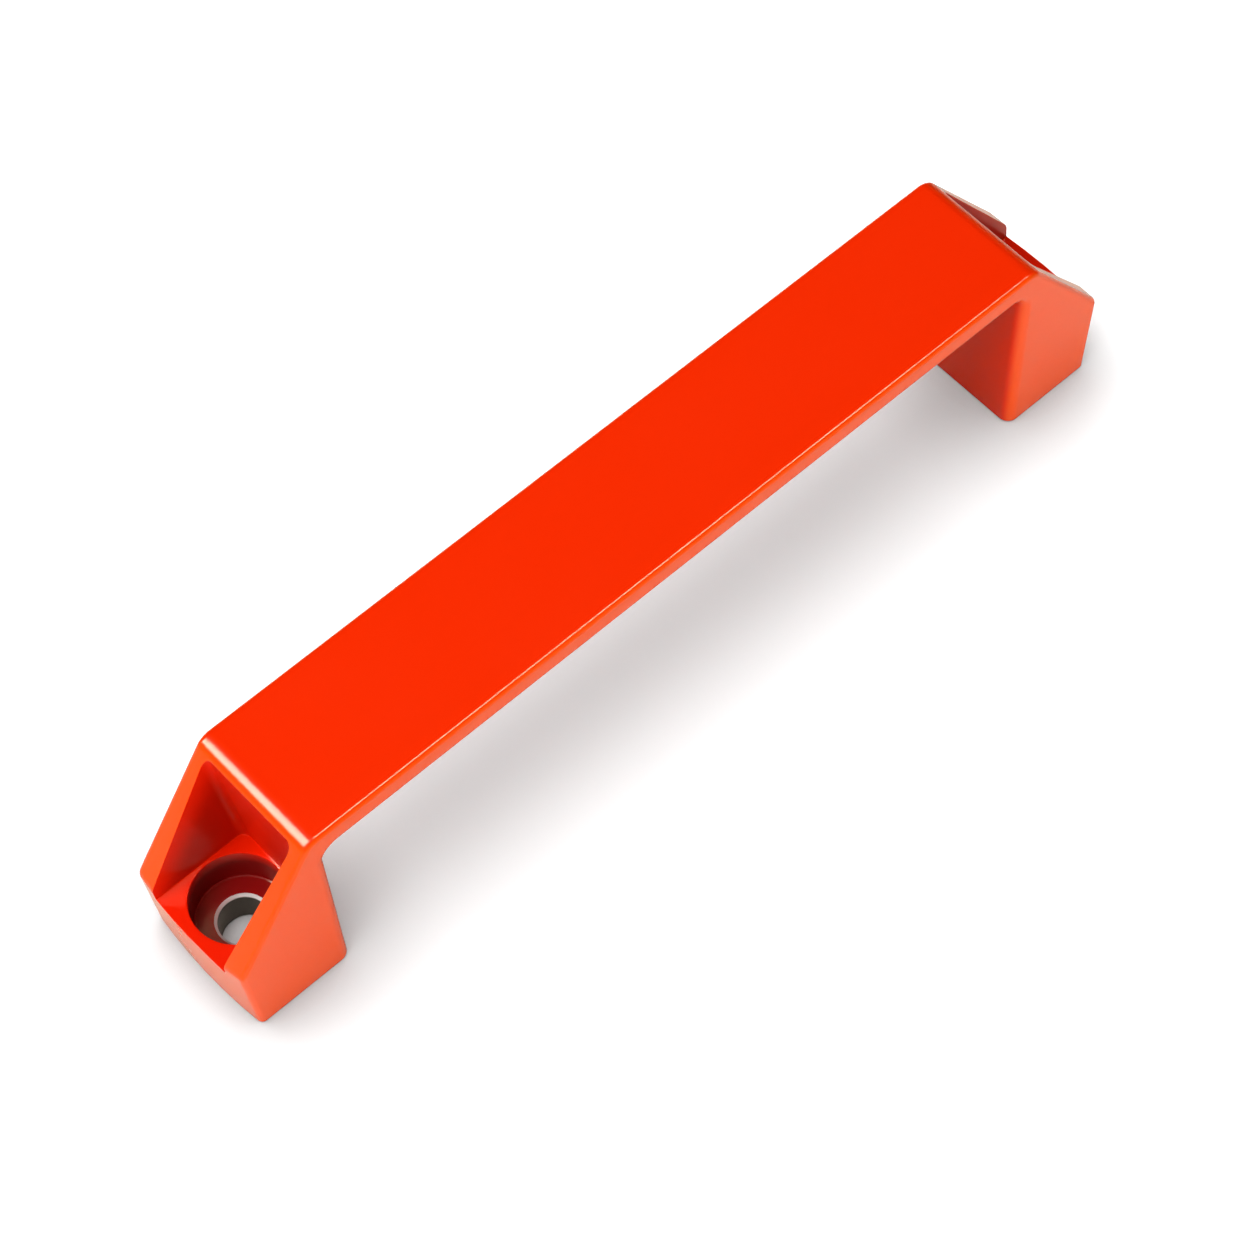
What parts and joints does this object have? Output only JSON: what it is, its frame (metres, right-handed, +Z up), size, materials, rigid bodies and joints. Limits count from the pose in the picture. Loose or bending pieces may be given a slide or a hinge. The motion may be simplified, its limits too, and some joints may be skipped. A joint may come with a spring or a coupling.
{
  "type": "bridge handle",
  "caption": "Cast bridge pull handle: a flat bar on sloped feet, with an open pocket in each foot that gives access from above to a counterbored screw hole.",
  "frame": {"origin": "midway between the feet, on the mounting surface", "axes": "+X along the bar, +Y across its width, +Z up from the mounting surface to the bar"},
  "size_m": [0.2012, 0.028, 0.044],
  "materials": {
    "coating": "glossy orange-red powder coat over cast aluminium"
  },
  "bodies": {
    "root": {"handle": "coating"}
  },
  "joints": []
}
